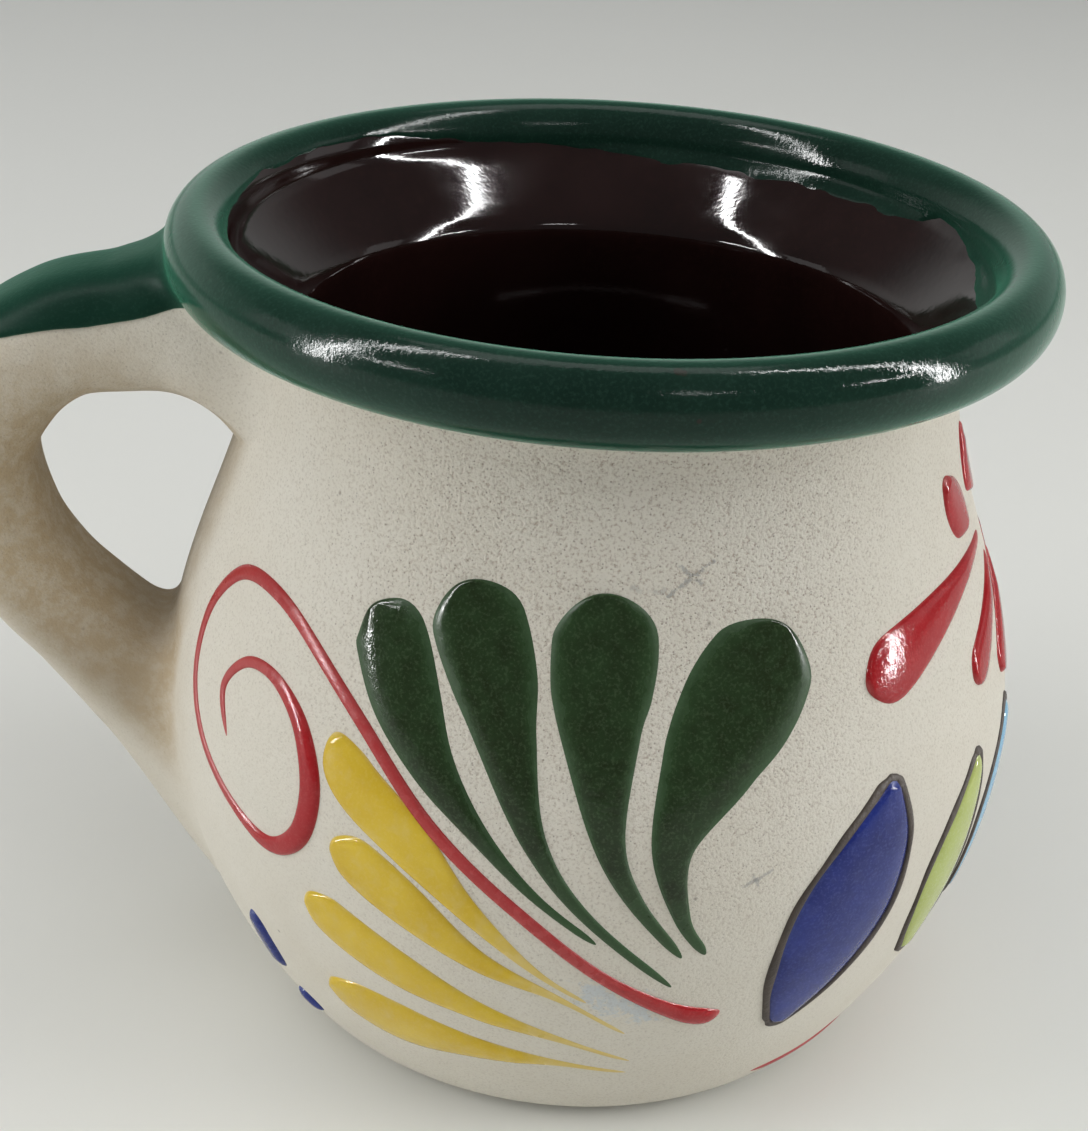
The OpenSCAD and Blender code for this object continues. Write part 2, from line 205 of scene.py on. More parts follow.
def column(radius, heights, **coat):
    return np.stack([radius(heights, **coat), heights], -1)


def innerLine(top, coat, count):
    # inside of the pot from a height down to the middle of the floor
    low, floorZ = pot["floor"] + pot["floorRound"], pot["floor"] + coat
    wall = column(innerRadius, np.linspace(top, low, count), coat=coat)
    r = wall[-1, 0]
    bend = bezier((r, low), (r - pot["floorRound"] / 2, floorZ), (r - 2 * pot["floorRound"], floorZ),
                  pot["rows"]["floorBend"])
    level = np.linspace((bend[-1, 0], floorZ), (pot["axisGap"], floorZ), pot["rows"]["floor"])
    return np.vstack([wall, bend[1:], level[1:]])


turns = np.linspace(-np.pi, np.pi, pot["turns"], endpoint=False)


def lathe(section, over=0.0):
    # turns a line of radius and height round the axis: rows follow the line, columns the turn
    tangent = unit(np.gradient(section, axis=0))
    r = section[:, 0, None] + tangent[:, 1, None] * over + wobble(turns[None], section[:, 1, None])
    z = section[:, 1, None] - tangent[:, 0, None] * over + 0 * turns[None]
    return np.stack([r * np.cos(turns), r * np.sin(turns), z], -1)


def coatShell(line, over, under):
    # closed skin between an uneven upper face and a sunk lower face along a lathed line
    grid = np.concatenate([lathe(line, over), lathe(line, -under)[::-1]], 0)
    return grid.reshape(-1, 3), gridFaces(*grid.shape[:2], loop=True)


def closedGrid(grid):
    # points and faces of rows of rings, with fans over the first and the last ring
    rows, cols = grid.shape[:2]
    points = np.vstack([grid.reshape(-1, 3), grid[0].mean(0), grid[-1].mean(0)])
    faces = gridFaces(rows, cols)
    top, low = rows * cols, (rows - 1) * cols
    for j in range(cols):
        k = (j + 1) % cols
        faces.append((top, k, j))
        faces.append((top + 1, low + j, low + k))
    return points, faces


def coatCup(line, over, under):
    # the same skin along a line that ends in the middle of the floor
    return closedGrid(np.concatenate([lathe(line, -under)[::-1], lathe(line, over)], 0))


# Shader helpers

def makeMaterial(name):
    material = bpy.data.materials.new(name)
    material.use_nodes = True
    tree = material.node_tree
    tree.nodes.clear()
    out = tree.nodes.new("ShaderNodeOutputMaterial")
    shader = tree.nodes.new("ShaderNodeBsdfPrincipled")
    tree.links.new(shader.outputs[0], out.inputs[0])
    return material, tree, shader


def feed(tree, sockets, values):
    # numbers, ways and colours are set on their sockets, anything else is linked
    for key, value in values.items():
        if isinstance(value, (int, float, Vector)):
            sockets[key].default_value = value
        elif isinstance(value, tuple):
            sockets[key].default_value = (*value, 1)
        else:
            tree.links.new(value, sockets[key])


def put(tree, kind, values=None, **settings):
    node = tree.nodes.new(kind)
    for key, setting in settings.items():
        setattr(node, key, setting)
    feed(tree, node.inputs, values or {})
    return node.outputs


def vector2(tree, operation, values):
    return put(tree, "ShaderNodeVectorMath", values, operation=operation)


def math2(tree, operation, a, b, clamp=False):
    return put(tree, "ShaderNodeMath", {0: a, 1: b}, operation=operation, use_clamp=clamp)[0]


def times(tree, first, *others):
    for other in others:
        first = math2(tree, "MULTIPLY", first, other)
    return first


def ramp(tree, value, low, high, toLow=0.0, toHigh=1.0):
    values = {"Value": value, "From Min": low, "From Max": high, "To Min": toLow, "To Max": toHigh}
    return put(tree, "ShaderNodeMapRange", values, interpolation_type="SMOOTHSTEP")[0]


def blendColor(tree, factor, a, b):
    return put(tree, "ShaderNodeMix", {0: factor, 6: a, 7: b}, data_type="RGBA")[2]


def layOver(tree, tone, color, *masks):
    # a colour over a tone where all the masks are
    return blendColor(tree, times(tree, *masks), tone, color)


def place(tree):
    return put(tree, "ShaderNodeTexCoord")["Object"]


def noiseOf(tree, where, scale, detail=2.0, roughness=0.5):
    values = {"Vector": where, "Scale": scale, "Detail": detail, "Roughness": roughness}
    return put(tree, "ShaderNodeTexNoise", values)["Fac"]


def makeGroup(name, inputs, outputs):
    group = bpy.data.node_groups.new(name, "ShaderNodeTree")
    for key, value in inputs.items():
        socket = group.interface.new_socket(key, in_out="INPUT", socket_type="NodeSocketFloat")
        socket.default_value = value
    for key in outputs:
        group.interface.new_socket(key, in_out="OUTPUT", socket_type="NodeSocketFloat")
    return group, group.nodes.new("NodeGroupInput").outputs, group.nodes.new("NodeGroupOutput").inputs


def useGroup(tree, group, **values):
    return put(tree, "ShaderNodeGroup", values, node_tree=group)


# Shared effects as node groups

effect = {"cloud": (4, 0.6), "cloudGain": 4, "fineScale": 3.2, "grain": (2, 0.6), "gritEdge": 0.08,
          "streakNoise": (700, 3), "edgeShare": 0.7}

kilnMottle, given, result = makeGroup("kilnMottle", {"Scale": 60, "Contrast": 0.5}, ["Factor"])
cloud = noiseOf(kilnMottle, place(kilnMottle), given["Scale"], *effect["cloud"])
spread = math2(kilnMottle, "SUBTRACT", cloud, 0.5)
spread = times(kilnMottle, spread, given["Contrast"], effect["cloudGain"])
feed(kilnMottle, result, {"Factor": math2(kilnMottle, "ADD", spread, 0.5, True)})

glazeRipple, given, result = makeGroup("glazeRipple", {"Scale": 900, "Sparkle": 0.5}, ["Height"])
where = place(glazeRipple)
slow = noiseOf(glazeRipple, where, given["Scale"], 1)
fine = noiseOf(glazeRipple, where, times(glazeRipple, given["Scale"], effect["fineScale"]), 1)
sparkle = times(glazeRipple, fine, given["Sparkle"])
feed(glazeRipple, result, {"Height": math2(glazeRipple, "ADD", slow, sparkle)})

fineGrain, given, result = makeGroup("fineGrain", {"Scale": 2700, "Depth": 0.22}, ["Mask", "Height"])
grain = noiseOf(fineGrain, place(fineGrain), given["Scale"], *effect["grain"])
deep = math2(fineGrain, "DIVIDE", math2(fineGrain, "SUBTRACT", 0.5, grain), given["Depth"], True)
feed(fineGrain, result, {"Mask": deep, "Height": grain})

grit, given, result = makeGroup("grit", {"Scale": 900, "Size": 0.22, "Share": 0.3}, ["Mask"])
cells = put(grit, "ShaderNodeTexVoronoi", {"Vector": place(grit), "Scale": given["Scale"]})
pick = put(grit, "ShaderNodeSeparateColor", {0: cells["Color"]})[0]
chosen = math2(grit, "LESS_THAN", pick, given["Share"])
inside = math2(grit, "SUBTRACT", given["Size"], cells["Distance"])
edge = math2(grit, "DIVIDE", inside, effect["gritEdge"], True)
feed(grit, result, {"Mask": times(grit, chosen, edge)})

thinCoat, given, result = makeGroup("thinCoat", {"Edge": 0.35, "Streaks": 0.5}, ["Thin"])
crown = put(thinCoat, "ShaderNodeAttribute", attribute_name="crown")["Fac"]
body = put(thinCoat, "ShaderNodeAttribute", attribute_name="body")["Fac"]
streak = noiseOf(thinCoat, place(thinCoat), *effect["streakNoise"])
lack = math2(thinCoat, "SUBTRACT", 1, math2(thinCoat, "DIVIDE", crown, given["Edge"], True))
bare = math2(thinCoat, "SUBTRACT", 1, body, True)
rough = times(thinCoat, math2(thinCoat, "SUBTRACT", streak, 0.5), given["Streaks"])
worn = math2(thinCoat, "ADD", times(thinCoat, lack, effect["edgeShare"]), bare)
feed(thinCoat, result, {"Thin": math2(thinCoat, "ADD", worn, rough, True)})
print("node groups made")


# Materials

def bumpOf(tree, height, distance):
    return put(tree, "ShaderNodeBump", {"Height": height, "Distance": distance})[0]


def mottledTone(tree, look, scale, contrast=0.5):
    # cloudy mask, and the look's two tones mixed by it
    mottle = useGroup(tree, kilnMottle, Scale=scale, Contrast=contrast)["Factor"]
    return mottle, blendColor(tree, mottle, look["base"], look["cloudy"])


def fleckedTone(tree, look, tone, scale, depth):
    flecks = useGroup(tree, fineGrain, Scale=scale, Depth=depth)["Mask"]
    return layOver(tree, tone, look["fleck"], flecks, look["flecks"])


def rippleBump(tree, look, scale, sparkle=0.5):
    ripple = useGroup(tree, glazeRipple, Scale=scale, Sparkle=sparkle)["Height"]
    return bumpOf(tree, ripple, look["rippleHeight"])


def smudgeMask(tree, where, a, b, width):
    # thin ragged mark along a straight line between two points
    way = Vector(b) - Vector(a)
    rel = vector2(tree, "SUBTRACT", {0: where, 1: Vector(a)})[0]
    share = vector2(tree, "DOT_PRODUCT", {0: rel, 1: way / way.length_squared})["Value"]
    along = vector2(tree, "SCALE", {0: way, "Scale": math2(tree, "ADD", share, 0, True)})[0]
    far = vector2(tree, "DISTANCE", {0: rel, 1: along})["Value"]
    torn = math2(tree, "SUBTRACT", noiseOf(tree, where, *clayLook["tornNoise"]), 0.5)
    ragged = times(tree, torn, width * clayLook["torn"])
    return ramp(tree, math2(tree, "ADD", far, ragged), width, width * clayLook["core"])


def lipSpot(turn, angle):
    (r, z), t = lipPoint(angle, glazeT), math.radians(turn)
    return r * math.cos(t), r * math.sin(t), z


def frontSpot(x, z):
    return x, -math.sqrt(float(wallRadius(z)) ** 2 - x * x), z


clayLook = {
    "base": (0.66, 0.63, 0.555), "cloudy": (0.61, 0.572, 0.488), "speck": (0.13, 0.105, 0.08),
    # the two browns after the grain colour: stain deepened by painted shade, then painted shade for the
    # crook under the handle
    "grain": (0.345, 0.283, 0.225), "stainAndShade": (0.415, 0.322, 0.198), "crookShade": (0.25, 0.195, 0.125),
    "smudge": (0.11, 0.125, 0.15), "wash": (0.4, 0.5, 0.6),
    "stainAndShadeShare": 0.95, "crookShadeShare": 0.8, "grainShare": 0.8, "speckShare": 0.55, "dotShare": 0.7,
    # zones of stain and painted shade by the handle: from none to full along x, up z and in from the
    # sides, and a share
    # brown stain on the outer handle, darkened further by painted shade
    "stainAndShadeZones": [{"x": (-0.041, -0.051), "z": (0.085, 0.065), "share": 1},
                # painted shade in the crook of the handle's lower joint
                {"x": (-0.036, -0.045), "z": (0.056, 0.042), "y": (0.013, 0.0085), "share": 1},
                # painted shade on the wall beside the handle, where the handle shades it
                {"x": (-0.03, -0.036), "z": (0.079, 0.07), "y": (0.011, 0.005), "share": 0.6}],
    # painted shade, darker still, in the crook under the handle's lower joint
    "paintedCrookShade": {"x": (-0.034, -0.043), "z": (0.052, 0.036), "y": (0.011, 0.005), "share": 1},
    "slope": (-0.7, 0.7), "paleBelow": (0.0085, 0.014, 1.0, 0.12),  # the handle's lower side stays pale
    "blotchNoise": (450, 5, 0.75), "blotches": (0.34, 0.62, 0.62, 1.0),
    # sandiest high up at the near and far sides
    "sandUp": (0.02, 0.062, 0.35, 1.0), "sandBack": (-0.036, -0.014, 0.4, 1.0),
    "sandFront": (0.012, 0.028, 1.0, 0.45),
    "lumpNoise": (800, 3, 0.6), "lumps": 0.6, "grainHeight": 0.0002,
    "rough": (0.3, 0.7, 0.94, 0.78), "shine": 0.25,
    # ends of the marks on the wall, across and up, then their width, colour and share
    "smudges": [
        ((0.0024, 0.066), (0.0062, 0.069), 0.0003, "smudge", 0.5),
        ((0.0034, 0.0686), (0.0054, 0.067), 0.00026, "smudge", 0.45),
        ((-0.001, 0.0668), (0.0018, 0.0664), 0.00034, "smudge", 0.25),
        ((0.0106, 0.0389), (0.0134, 0.0402), 0.00028, "smudge", 0.4),
        ((0.0115, 0.0401), (0.0123, 0.0386), 0.00024, "smudge", 0.35),
        ((-0.0025, 0.0262), (0.0022, 0.0238), 0.0022, "wash", 0.45)],
    "tornNoise": (1100, 4, 0.7), "torn": 5, "core": 0.2,
}


def stainShadeZone(tree, axes, zone):
    parts = [ramp(tree, axes["X"], *zone["x"]), ramp(tree, axes["Z"], *zone["z"])]
    if "y" in zone:
        parts.append(ramp(tree, math2(tree, "ABSOLUTE", axes["Y"], 0), *zone["y"]))
    return times(tree, *parts, zone["share"])


clay, tree, shader = makeMaterial("unglazedClay")
where = place(tree)
axes = put(tree, "ShaderNodeSeparateXYZ", {0: where})
tone = mottledTone(tree, clayLook, scale=70, contrast=0.4)[1]
# stain and painted shade on and beside the handle, broken up by blotches
stainAndShadeMask = 0.0
for zone in clayLook["stainAndShadeZones"]:
    stainAndShadeMask = math2(tree, "MAXIMUM", stainShadeZone(tree, axes, zone), stainAndShadeMask)
slopeX, slopeZ = clayLook["slope"]
fall = math2(tree, "SUBTRACT", times(tree, axes["X"], slopeX), times(tree, axes["Z"], slopeZ))
above = ramp(tree, fall, *clayLook["paleBelow"])
blotch = ramp(tree, noiseOf(tree, where, *clayLook["blotchNoise"]), *clayLook["blotches"])
tone = layOver(tree, tone, clayLook["stainAndShade"], stainAndShadeMask, above, blotch, clayLook["stainAndShadeShare"])
# painted shade in the crook under the lower joint
paintedCrookShade = stainShadeZone(tree, axes, clayLook["paintedCrookShade"])
tone = layOver(tree, tone, clayLook["crookShade"], paintedCrookShade, above, clayLook["crookShadeShare"])
for start, end, width, key, share in clayLook["smudges"]:
    smudge = smudgeMask(tree, where, frontSpot(*start), frontSpot(*end), width)
    tone = layOver(tree, tone, clayLook[key], smudge, share)
coarse = times(tree, ramp(tree, axes["Z"], *clayLook["sandUp"]),
               ramp(tree, axes["X"], *clayLook["sandBack"]), ramp(tree, axes["X"], *clayLook["sandFront"]))
sand = useGroup(tree, fineGrain, Scale=3500, Depth=0.22)
tone = layOver(tree, tone, clayLook["grain"], sand["Mask"], coarse, clayLook["grainShare"])
specks = useGroup(tree, grit, Scale=2700, Size=0.28, Share=0.26)["Mask"]
tone = layOver(tree, tone, clayLook["speck"], specks, coarse, clayLook["speckShare"])
dots = useGroup(tree, grit, Scale=330, Size=0.09, Share=0.08)["Mask"]
tone = layOver(tree, tone, clayLook["speck"], dots, clayLook["dotShare"])
lumps = times(tree, noiseOf(tree, where, *clayLook["lumpNoise"]), clayLook["lumps"])
height = times(tree, math2(tree, "ADD", sand["Height"], lumps), coarse)
feed(tree, shader.inputs, {
    "Base Color": tone, "Normal": bumpOf(tree, height, clayLook["grainHeight"]),
    "Roughness": ramp(tree, sand["Height"], *clayLook["rough"]), "Specular IOR Level": clayLook["shine"]})


def glazeMaterial(name, look):
    # glossy glaze with slow tone changes, ripple and fine sparkle
    material, tree, shader = makeMaterial(name)
    mottle, tone = mottledTone(tree, look, look["mottle"])
    if "haze" in look:  # the glaze looks milkier where it is seen from the side
        feed(tree, shader.inputs, {"Sheen Weight": 1.0, "Sheen Roughness": look["hazeSpread"],
                                   "Sheen Tint": look["haze"]})
    for turn, angle, size in look["flaws"]:
        far = vector2(tree, "DISTANCE", {0: place(tree), 1: Vector(lipSpot(turn, angle))})["Value"]
        far = math2(tree, "ADD", far, times(tree, noiseOf(tree, place(tree), *look["tornNoise"]), size))
        tone = layOver(tree, tone, look["bare"], ramp(tree, far, size * look["flawEdge"], size))
    feed(tree, shader.inputs, {
        "Base Color": fleckedTone(tree, look, tone, look["fleckScale"], depth=0.25),
        "Normal": rippleBump(tree, look, look["ripple"]),
        "Roughness": ramp(tree, mottle, *look["dullFrom"], look["gloss"], look["gloss"] + look["dulling"]),
        "Specular IOR Level": look["shine"]})
    return material


greenLook = {
    "base": (0.0035, 0.0108, 0.0074), "cloudy": (0.0067, 0.0208, 0.0141), "fleck": (0.026, 0.064, 0.045),
    "haze": (0.07, 0.28, 0.175), "hazeSpread": 0.47, "mottle": 90, "shine": 0.18,
    "fleckScale": 3000, "flecks": 0.3, "ripple": 1700, "rippleHeight": 0.000019, "gloss": 0.07,
    "dullFrom": (0.2, 0.8), "dulling": 0.08,
    # turn, lip angle and size of places where the glaze has come off, and how ragged they are
    "flaws": [(-89.1, 66, 0.0005), (-88.4, 63, 0.0004), (-86.8, 0, 0.0003)],
    "bare": (0.018, 0.011, 0.009), "tornNoise": (1500, 2), "flawEdge": 1.5,
}
greenGlaze = glazeMaterial("greenGlaze", greenLook)
# lighter green than the rim's glaze: painted light in place of the gloss it gives up
thumbGlaze = glazeMaterial("thumbGlaze", {
    **greenLook, "base": (0.0044, 0.0205, 0.0132), "cloudy": (0.007, 0.03, 0.0195), "flaws": (),
    "gloss": 0.3, "shine": 0.035})  # duller where the hand rests
brownGlaze = glazeMaterial("brownGlaze", {
    "base": (0.008, 0.0034, 0.003), "cloudy": (0.016, 0.0058, 0.005), "fleck": (0.045, 0.018, 0.015),
    "mottle": 70, "shine": 0.4, "fleckScale": 1500, "flecks": 0.12, "ripple": 1100,
    "rippleHeight": 0.000008, "gloss": 0.045, "dullFrom": (0.2, 0.8), "dulling": 0.08, "flaws": (),
})

enamelBase = {
    "mottle": 160, "flecks": 0.3, "edge": 0.35, "streaks": 0.5, "thinning": 0.6, "rippleHeight": 0.000026,
    "rough": (0.1, 0.9, 0.1, 0.6), "shine": 0.25,
}


def enamelMaterial(name, own):
    # raised enamel, thinner and paler at its edges and where the brush ran dry
    look = {**enamelBase, **own}
    material, tree, shader = makeMaterial(name)
    tone = mottledTone(tree, look, look["mottle"])[1]
    tone = fleckedTone(tree, look, tone, scale=3300, depth=0.16)
    thin = useGroup(tree, thinCoat, Edge=look["edge"], Streaks=look["streaks"])["Thin"]
    tone = layOver(tree, tone, look["thin"], thin, look["thinning"])
    feed(tree, shader.inputs, {
        "Base Color": tone, "Normal": rippleBump(tree, look, scale=1400),
        "Roughness": ramp(tree, thin, *look["rough"]), "Specular IOR Level": look["shine"]})
    return material


enamelLooks = {
    "red": {"base": (0.3, 0.009, 0.012), "cloudy": (0.37, 0.016, 0.02), "fleck": (0.43, 0.06, 0.06),
            "thin": (0.5, 0.14, 0.13)},
    "green": {"base": (0.0115, 0.0145, 0.0055), "cloudy": (0.0135, 0.025, 0.0085),
              "fleck": (0.048, 0.072, 0.036), "thin": (0.045, 0.112, 0.04), "flecks": 0.5, "edge": 0.85,
              "thinning": 0.8, "mottle": 60},
    "yellow": {"base": (0.55, 0.365, 0.022), "cloudy": (0.65, 0.47, 0.05), "fleck": (0.7, 0.56, 0.2),
               "thin": (0.64, 0.53, 0.27), "thinning": 0.8, "streaks": 0.9, "flecks": 0.12},
    "blue": {"base": (0.01, 0.016, 0.115), "cloudy": (0.022, 0.037, 0.215), "fleck": (0.065, 0.09, 0.32),
             "thin": (0.13, 0.17, 0.38)},
    "lime": {"base": (0.36, 0.42, 0.11), "cloudy": (0.46, 0.53, 0.17), "fleck": (0.52, 0.58, 0.28),
             "thin": (0.55, 0.57, 0.34)},
    "sky": {"base": (0.17, 0.38, 0.56), "cloudy": (0.27, 0.5, 0.66), "fleck": (0.4, 0.6, 0.72),
            "thin": (0.45, 0.58, 0.64)},
}
enamels = {color: enamelMaterial(color + "Enamel", look) for color, look in enamelLooks.items()}

outlineLook = {"base": (0.03, 0.022, 0.018), "cloudy": (0.075, 0.055, 0.04), "rippleHeight": 0.00012,
               "rough": 0.6}
outlinePaint, tree, shader = makeMaterial("outlinePaint")
feed(tree, shader.inputs, {
    "Base Color": mottledTone(tree, outlineLook, scale=220)[1],
    "Normal": rippleBump(tree, outlineLook, scale=1600, sparkle=0.6), "Roughness": outlineLook["rough"]})
print("materials made")


# Clay pot

rowCounts, footFlat = pot["rows"], footR - pot["footRound"]
neckBend = bezier((neckR, neckZ), (neckR, lipZ - pot["lipHeight"] / 2), lipPoint(pot["neckJoin"], 0),
                  rowCounts["neckBend"])
potLine = np.vstack([
    np.linspace((pot["footAxisGap"], 0), (footFlat, 0), rowCounts["foot"]),
    bezier((footFlat, 0), (footR, 0), (wallRadius(pot["footRound"]), pot["footRound"]),
           rowCounts["footRound"])[1:],
    column(wallRadius, np.linspace(pot["footRound"], neckZ, rowCounts["wall"])[1:]),
    neckBend[1:],
    lipPoint(np.linspace(pot["neckJoin"], 180, rowCounts["lip"])[1:], 0),
    innerLine(lipZ, 0, rowCounts["inside"])[1:],
])
addPiece("clayPot", *closedGrid(lathe(potLine)), clay, "clay", ["clay_body"])
print("pot turned:", len(potLine), "rows")


# Strap handle, with soft joints where it was pressed onto the pot

strap = {
    "reach": 0.0709, "width": 0.014, "thickness": 0.012, "topDrop": 0.011, "footShare": 0.356,
    "power": 0.68, "around": 72, "along": 120, "jointRows": 14, "lineSteps": 420,
    "lipSide": (-82, 76, 30), "lipGap": 0.0001,  # the lip's outer side by angle, and its gap to the neck
    "topMiddle": 0.0765, "footMiddle": 0.029, "lipJoin": -40, "underLip": 0.0812,
    # filled hollow under the lip: how far below the neck, its slopes at both ends, its half width and fade
    "fillDrop": 0.0005, "fillSlopes": (0.2, 0.67), "fillHalf": 0.0085, "fillFade": 0.005,
    "neckTurn": 0.04, "asideFade": 0.003,
    # soft joint: its seat in the wall, steps for its heading, share of that, and the rings under the clay
    "seat": 0.00003, "headingSteps": 6, "slantShare": 0.5, "sunk": [(0.001, -0.0002), (0.0011, -0.001)],
    "under": 0.001,
    # turn round the section from its outer side, then height, spread and slant of the soft joint there
    "topJoint": [(0, 0.0054, 0.002, 0), (40, 0.0054, 0.0026, 0), (90, 0.0042, 0.0048, 0),
                 (140, 0.01, 0.0006, 1), (180, 0.01, 0.0006, 1)],
    "footJoint": [(0, 0.0075, 0.006, 0.8), (40, 0.0068, 0.006, 0.8), (90, 0.0045, 0.0052, 0),
                  (150, 0.0032, 0.0036, 0), (180, 0.0032, 0.0036, 0)],
    # share of the reach, share of the height, share of the thickness, share of the width
    "line": [
        (-0.12, 0.91, 1.8, 1.3), (0.11, 0.943, 1.45, 1.2), (0.27, 0.965, 1.26, 1.1),
        (0.44, 0.952, 1.09, 1.02), (0.675, 0.924, 1.03, 1), (0.88, 0.828, 1.06, 0.98),
        (1, 0.66, 1, 0.96), (0.925, 0.468, 1, 0.96), (0.73, 0.333, 0.95, 0.98), (0.49, 0.229, 0.98, 1),
        (0.205, 0.113, 1.15, 1.06), (-0.107, -0.01, 1.54, 1.18), (-0.3, -0.22, 1.42, 1.26),
        (-0.37, -0.38, 1, 1.2)],
}


def squarish(x):
    return np.sign(x) * np.abs(x) ** strap["power"]


def strapLines():
    # long lines of the bare strap: one for each place round its section
    share = smoothLine(strap["line"], np.linspace(0, len(strap["line"]) - 1, strap["lineSteps"]))
    low, high = strap["footShare"] * pot["height"], pot["height"] - strap["topDrop"]
    z = mix(low, high, share[:, 1])
    r = mix(wallRadius(z), strap["reach"] - strap["thickness"] / 2, share[:, 0])
    turn = np.arctan2(np.gradient(z), np.gradient(r)) + np.pi / 2
    angle = np.linspace(0, 2 * np.pi, strap["around"], endpoint=False)
    out = strap["thickness"] / 2 * share[:, 2, None] * squarish(np.cos(angle))
    across = strap["width"] / 2 * share[:, 3, None] * squarish(np.sin(angle))
    x = -r[:, None] - out * np.cos(turn)[:, None]
    return np.stack([x, across, z[:, None] + out * np.sin(turn)[:, None]], -1)


lipSide = lipPoint(np.linspace(*strap["lipSide"]), 0)
upperLine = np.vstack([neckBend[neckBend[:, 1] < lipSide[0, 1] - strap["lipGap"]], lipSide])


def outerAt(turn, z):
    # outer side of the clay at a height: wall, neck and lip
    return np.where(z > neckZ, np.interp(z, upperLine[:, 1], upperLine[:, 0]), wallAt(turn, z))


def aside(turn, fade):
    # share of being beside the strap, past the half width of the fill
    return ease((np.abs(np.sin(turn)) * strap["neckTurn"] - strap["fillHalf"]) / fade)


def jointAt(turn, z):
    # the outer side with the hollow under the lip filled beside the strap
    low, (lipEnd, high) = neckZ - strap["fillDrop"], lipPoint(strap["lipJoin"], 0)
    u, span = np.clip((z - low) / (high - low), 0, 1), high - low
    slope, lipSlope = strap["fillSlopes"]
    skirt = (neckR * (1 + 2 * u) * (1 - u) ** 2 + span * slope * u * (1 - u) ** 2
             + lipEnd * u ** 2 * (3 - 2 * u) + span * lipSlope * u ** 2 * (u - 1))
    filled = mix(outerAt(turn, z), skirt, 1 - aside(turn, strap["fillFade"]))
    return np.where((z > low) & (z < high), filled, outerAt(turn, z))


def jointCurve(line, rise, spread, slant, middle):
    # one line's soft end: from the strap at a height over the pot, along the pot and into it
    turn = np.arctan2(line[:, 1], line[:, 0]) % (2 * np.pi)
    radius = np.hypot(line[:, 0], line[:, 1])
    spots = np.stack([turn, line[:, 2], radius - jointAt(turn, line[:, 2])], -1)
    start, foot = int(np.argmax(spots[:, 2] > rise)), int(np.argmax(spots[:, 2] > 0))
    first = spots[start]
    corner = np.array([turn[foot], line[foot, 2], 0])
    away = np.array([(turn[foot] - np.pi) * radius[foot], line[foot, 2] - middle])
    away = away / np.linalg.norm(away) / np.array([radius[foot], 1])
    last = corner + np.array([*(away * spread), -strap["seat"]])
    heading = first - spots[start + strap["headingSteps"]]
    corner = mix(corner, first - heading / heading[2] * first[2] * strap["slantShare"], slant)
    sunk = [last + np.array([*(away * past), drop]) for past, drop in strap["sunk"]]
    c = np.vstack([bezier(first, corner, last, strap["jointRows"]), sunk])
    lower = mix(c[:, 1], np.minimum(c[:, 1], strap["underLip"]), aside(c[:, 0], strap["asideFade"]))
    c[:, 1] = np.where(c[:, 1] > neckZ, lower, c[:, 1])
    r = jointAt(c[:, 0], c[:, 1]) + c[:, 2]
    r[-1] = min(r[-1], outerAt(c[-1, 0], c[-1, 1]) - strap["under"])
    return start, np.stack([r * np.cos(c[:, 0]), r * np.sin(c[:, 0]), c[:, 1]], -1)


def handleGrid():
    # rows run from the neck to the belly, columns go round the strap
    lines = strapLines()
    grid = []
    for j in range(strap["around"]):
        line = lines[:, j]
        fromTop = abs((j / strap["around"] * 360 + 180) % 360 - 180)
        sizes = [[reading(strap[key], fromTop, k) for k in (1, 2, 3)] for key in ("topJoint", "footJoint")]
        start, top = jointCurve(line, *sizes[0], strap["topMiddle"])
        end, foot = jointCurve(line[::-1], *sizes[1], strap["footMiddle"])
        body = line[start:len(line) - end]
        run = runAlong(body)
        even = np.linspace(0, run[-1], strap["along"])
        body = np.stack([np.interp(even, run, body[:, k]) for k in range(3)], -1)
        grid.append(np.vstack([top[::-1], body[1:-1], foot]))
    return np.stack(grid, 1)


handlePoints = handleGrid()
addPiece("strapHandle", *closedGrid(handlePoints), clay, "clay", ["handle"])
print("handle drawn:", len(handlePoints), "rows")


# Glazes: green over the lip and the top of the handle, brown inside

glaze = {
    "outerEnd": -122, "thickness": 0.00048, "edge": 0.001, "under": 0.0004, "innerEdgeWidth": 0.0014,
    "outsideDrop": 0.35, "mouthLow": 0.079, "lipRows": 64, "mouthRows": 28, "pastTop": 95,
    "wallSlope": 1.2,
    # ragged edges: how far, and their waves by count, start and share
    "ragged": 0.00016, "raggedWaves": [(23, 0.5, 0.5), (41, 2.1, 0.4), (67, 0, 0.3)],
    "lowEdge": 0.001, "lowRagged": 0.00018, "lowWaves": [(9, 1, 1), (17, 0, 0.6)],
    # brown liner: thickness, depth under the clay, and how far and how softly it goes under the green
    "liner": 0.0003, "linerUnder": 0.0003, "linerLap": 0.001, "linerFade": 0.0006, "linerLeast": -0.2,
    "linerFrom": 100, "linerLipRows": 24, "linerRows": 80,
    # height of the green's inner edge round the mouth, by turn in degrees
    "innerEdge": [(-186, 0.087), (-150, 0.0862), (-110, 0.085), (-60, 0.0838), (-10, 0.0829),
                  (-4, 0.0836), (6, 0.0843), (13, 0.0856), (18, 0.0854), (22, 0.0843), (29, 0.0837),
                  (47, 0.0838), (58, 0.0837), (69, 0.0839), (76, 0.0838), (87, 0.0846), (94, 0.0849),
                  (101, 0.0854), (110, 0.0857), (114, 0.0862), (126, 0.0874), (136, 0.0877),
                  (145, 0.0876), (151, 0.0874), (156, 0.0877), (174, 0.087)],
}


def roundEdge(distance, width):
    # thickness share of a coat at a distance inside its edge, under zero outside
    u = np.clip(distance / width, 0, 1)
    outside = np.maximum(distance / width, -1) * glaze["outsideDrop"]
    return np.where(distance > 0, np.sqrt(1 - (1 - u) ** 2), outside)


